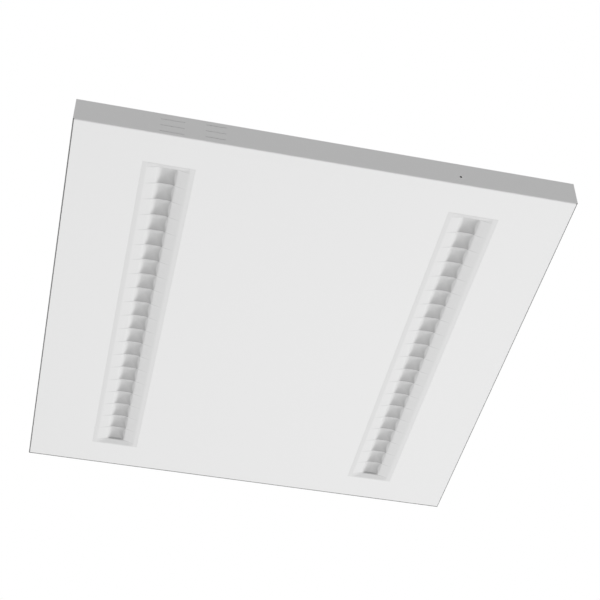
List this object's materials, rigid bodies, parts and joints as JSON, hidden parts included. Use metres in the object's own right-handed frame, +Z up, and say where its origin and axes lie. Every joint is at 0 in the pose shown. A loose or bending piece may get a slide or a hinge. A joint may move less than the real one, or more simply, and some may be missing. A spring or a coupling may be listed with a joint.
{
  "type": "recessed troffer light",
  "caption": "Square lay-in LED troffer for a modular ceiling: folded white tray, slim cellular louvre strips, back cover with driver, hinged connection box and swing-out clips.",
  "frame": {"origin": "middle of the visible face, in its outer plane", "axes": "+Z up as installed, away from the room; +Y along the two louvre strips; +X across them"},
  "size_m": [0.595, 0.595, 0.0681],
  "materials": {
    "white_steel": "satin powder coat",
    "louvre_white": "satin moulded",
    "opal_window": "opal diffusing",
    "zinc_steel": "bright zinc plated",
    "spring_steel": "plain spring steel",
    "carrier_aluminium": "mill finish",
    "circuit_board": "white solder mask",
    "driver_board": "green solder mask",
    "chip_phosphor": "silicone lens",
    "connector_white": "moulded nylon",
    "driver_case": "white lacquered",
    "winding_core": "dark ferrite and tape",
    "capacitor_black": "sleeved can",
    "box_plastic": "fine textured moulding",
    "button_orange": "moulded",
    "terminal_grey": "moulded polyamide",
    "contact_copper": "tinned copper",
    "grommet_rubber": "matt black",
    "clamp_black": "moulded",
    "lead_white": "flat PVC",
    "lead_earth": "green and yellow PVC"
  },
  "bodies": {
    "fitting": {"housing_tray": "white_steel", "back_cover": "white_steel", "louvre_insert_left": "louvre_white", "louvre_insert_right": "louvre_white", "light_window_left": "opal_window", "light_window_right": "opal_window", "led_board_left": "circuit_board", "led_board_right": "circuit_board", "led_chips_left": "chip_phosphor", "led_chips_right": "chip_phosphor", "board_connector_left": "connector_white", "board_connector_right": "connector_white", "carrier_left": "carrier_aluminium", "carrier_right": "carrier_aluminium", "end_hooks": "zinc_steel", "cover_screws": "zinc_steel", "driver_screws": "zinc_steel", "clip_screws": "zinc_steel", "driver_base": "zinc_steel", "driver_cover": "driver_case", "driver_output_terminal": "terminal_grey", "driver_input_terminal": "terminal_grey", "driver_circuit_board": "driver_board", "driver_transformer": "winding_core", "driver_capacitors": "capacitor_black", "connection_box": "box_plastic", "lid_hinge_pin": "zinc_steel", "terminal_block": "terminal_grey", "contact_bars": "contact_copper", "clamp_springs": "spring_steel", "cable_grommet": "grommet_rubber", "cable_clamp": "clamp_black", "clamp_screws": "zinc_steel", "supply_lead": "lead_white", "output_lead_left": "lead_white", "output_lead_right": "lead_white", "lead_saddles": "connector_white", "lead_bushing": "grommet_rubber", "earth_stud": "zinc_steel", "earth_tag": "contact_copper", "earth_nut": "zinc_steel", "earth_lead": "lead_earth"},
    "lid": {"box_lid": "box_plastic"},
    "clip_1": {"hold_down_clip_1": "spring_steel"},
    "clip_2": {"hold_down_clip_2": "spring_steel"},
    "clip_3": {"hold_down_clip_3": "spring_steel"},
    "clip_4": {"hold_down_clip_4": "spring_steel"},
    "button_1": {"release_button_1": "button_orange"},
    "button_2": {"release_button_2": "button_orange"},
    "button_3": {"release_button_3": "button_orange"}
  },
  "joints": [
    {"name": "lid_hinge", "type": "hinge", "parent": "fitting", "child": "lid", "pos_m": [0, 0.1914, 0.0628], "axis": [-1, 0, 0], "range_deg": [0, 110]},
    {"name": "clip_1_swing", "type": "hinge", "parent": "fitting", "child": "clip_1", "pos_m": [-0.2905, -0.236, 0.0378], "axis": [0, 0, 1], "range_deg": [0, 90]},
    {"name": "clip_2_swing", "type": "hinge", "parent": "fitting", "child": "clip_2", "pos_m": [-0.2905, 0.236, 0.0378], "axis": [0, 0, -1], "range_deg": [0, 90]},
    {"name": "clip_3_swing", "type": "hinge", "parent": "fitting", "child": "clip_3", "pos_m": [0.2905, -0.236, 0.0378], "axis": [0, 0, -1], "range_deg": [0, 90]},
    {"name": "clip_4_swing", "type": "hinge", "parent": "fitting", "child": "clip_4", "pos_m": [0.2905, 0.236, 0.0378], "axis": [0, 0, 1], "range_deg": [0, 90]},
    {"name": "button_1_press", "type": "slide", "parent": "fitting", "child": "button_1", "axis": [0, 0, -1], "range_m": [0, 0.0015], "stiffness_N_per_m": 800},
    {"name": "button_2_press", "type": "slide", "parent": "fitting", "child": "button_2", "axis": [0, 0, -1], "range_m": [0, 0.0015], "stiffness_N_per_m": 800},
    {"name": "button_3_press", "type": "slide", "parent": "fitting", "child": "button_3", "axis": [0, 0, -1], "range_m": [0, 0.0015], "stiffness_N_per_m": 800}
  ]
}
